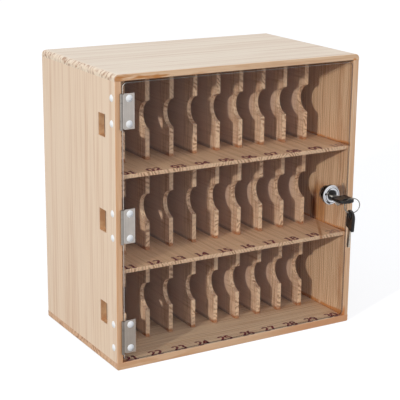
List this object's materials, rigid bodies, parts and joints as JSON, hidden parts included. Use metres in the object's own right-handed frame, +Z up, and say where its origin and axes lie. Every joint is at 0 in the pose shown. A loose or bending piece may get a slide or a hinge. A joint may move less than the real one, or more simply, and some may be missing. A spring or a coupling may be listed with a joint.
{
  "type": "phone locker box",
  "caption": "Pine cabinet with a clear hinged door, rows of upright places for phones, cable slots in one side, and a cam lock with keys on a ring.",
  "frame": {"origin": "centre of the cabinet's width and depth, on the underside of the bottom panel", "axes": "+X to the right as seen from the front, +Y from the door to the back panel, +Z up"},
  "size_m": [0.3416, 0.2507, 0.356],
  "materials": {
    "pine": "sanded, clear satin lacquer",
    "plywood": "sanded, edges darkened by laser cutting",
    "acrylic": "clear, polished",
    "hinge_steel": "brushed",
    "white_nylon": "semi-gloss",
    "brad_steel": "plain",
    "chrome": "polished",
    "black_rubber": "matt",
    "dark_zinc": "dark passivated",
    "zinc": "zinc plated",
    "black_plastic": "moulded, semi-gloss",
    "key_steel": "nickel plated",
    "ring_steel": "plain wire"
  },
  "bodies": {
    "cabinet": {"top_panel": "pine", "bottom_panel": "pine", "left_panel": "pine", "right_panel": "pine", "back_panel": "plywood", "lower_shelf": "plywood", "upper_shelf": "plywood", "divider_lower_1": "plywood", "divider_lower_2": "plywood", "divider_lower_3": "plywood", "divider_lower_4": "plywood", "divider_lower_5": "plywood", "divider_lower_6": "plywood", "divider_lower_7": "plywood", "divider_lower_8": "plywood", "divider_lower_9": "plywood", "divider_middle_1": "plywood", "divider_middle_2": "plywood", "divider_middle_3": "plywood", "divider_middle_4": "plywood", "divider_middle_5": "plywood", "divider_middle_6": "plywood", "divider_middle_7": "plywood", "divider_middle_8": "plywood", "divider_middle_9": "plywood", "divider_upper_1": "plywood", "divider_upper_2": "plywood", "divider_upper_3": "plywood", "divider_upper_4": "plywood", "divider_upper_5": "plywood", "divider_upper_6": "plywood", "divider_upper_7": "plywood", "divider_upper_8": "plywood", "divider_upper_9": "plywood", "lower_side_leaf": "hinge_steel", "middle_side_leaf": "hinge_steel", "upper_side_leaf": "hinge_steel", "hinge_pins": "hinge_steel", "side_rivets": "white_nylon", "side_rivet_caps": "white_nylon", "back_brads": "brad_steel"},
    "door": {"door_panel": "acrylic", "lower_door_leaf": "hinge_steel", "middle_door_leaf": "hinge_steel", "upper_door_leaf": "hinge_steel", "door_rivets": "white_nylon", "door_rivet_caps": "white_nylon", "lock_body": "chrome", "lock_gasket": "black_rubber", "lock_nut": "dark_zinc"},
    "plug": {"plug": "chrome", "plug_cover": "black_plastic", "cam": "zinc", "cam_screw": "zinc"},
    "key": {"key_blade": "key_steel", "key_head": "black_plastic"},
    "ring": {"key_ring": "ring_steel"},
    "spare_key": {"spare_key_blade": "key_steel", "spare_key_head": "black_plastic"}
  },
  "joints": [
    {"name": "door_hinge", "type": "hinge", "parent": "cabinet", "child": "door", "pos_m": [-0.163, -0.1046, 0.1785], "axis": [0, 0, -1], "range_deg": [0, 180]},
    {"name": "plug_turn", "type": "hinge", "parent": "door", "child": "plug", "pos_m": [0.1336, -0.1025, 0.1785], "axis": [0, -1, 0], "range_deg": [0, 45]},
    {"name": "key_slide", "type": "slide", "parent": "plug", "child": "key", "axis": [0, -1, 0], "range_m": [0, 0.03]},
    {"name": "ring_swing", "type": "hinge", "parent": "key", "child": "ring", "pos_m": [0.1336, -0.1377, 0.1785], "axis": [0.9532, -0.3024, 0], "range_deg": [-20, 10]},
    {"name": "spare_key_swing", "type": "hinge", "parent": "ring", "child": "spare_key", "pos_m": [0.14129, -0.13796, 0.16181], "axis": [0.9532, -0.3024, 0], "range_deg": [-60, 34]}
  ]
}
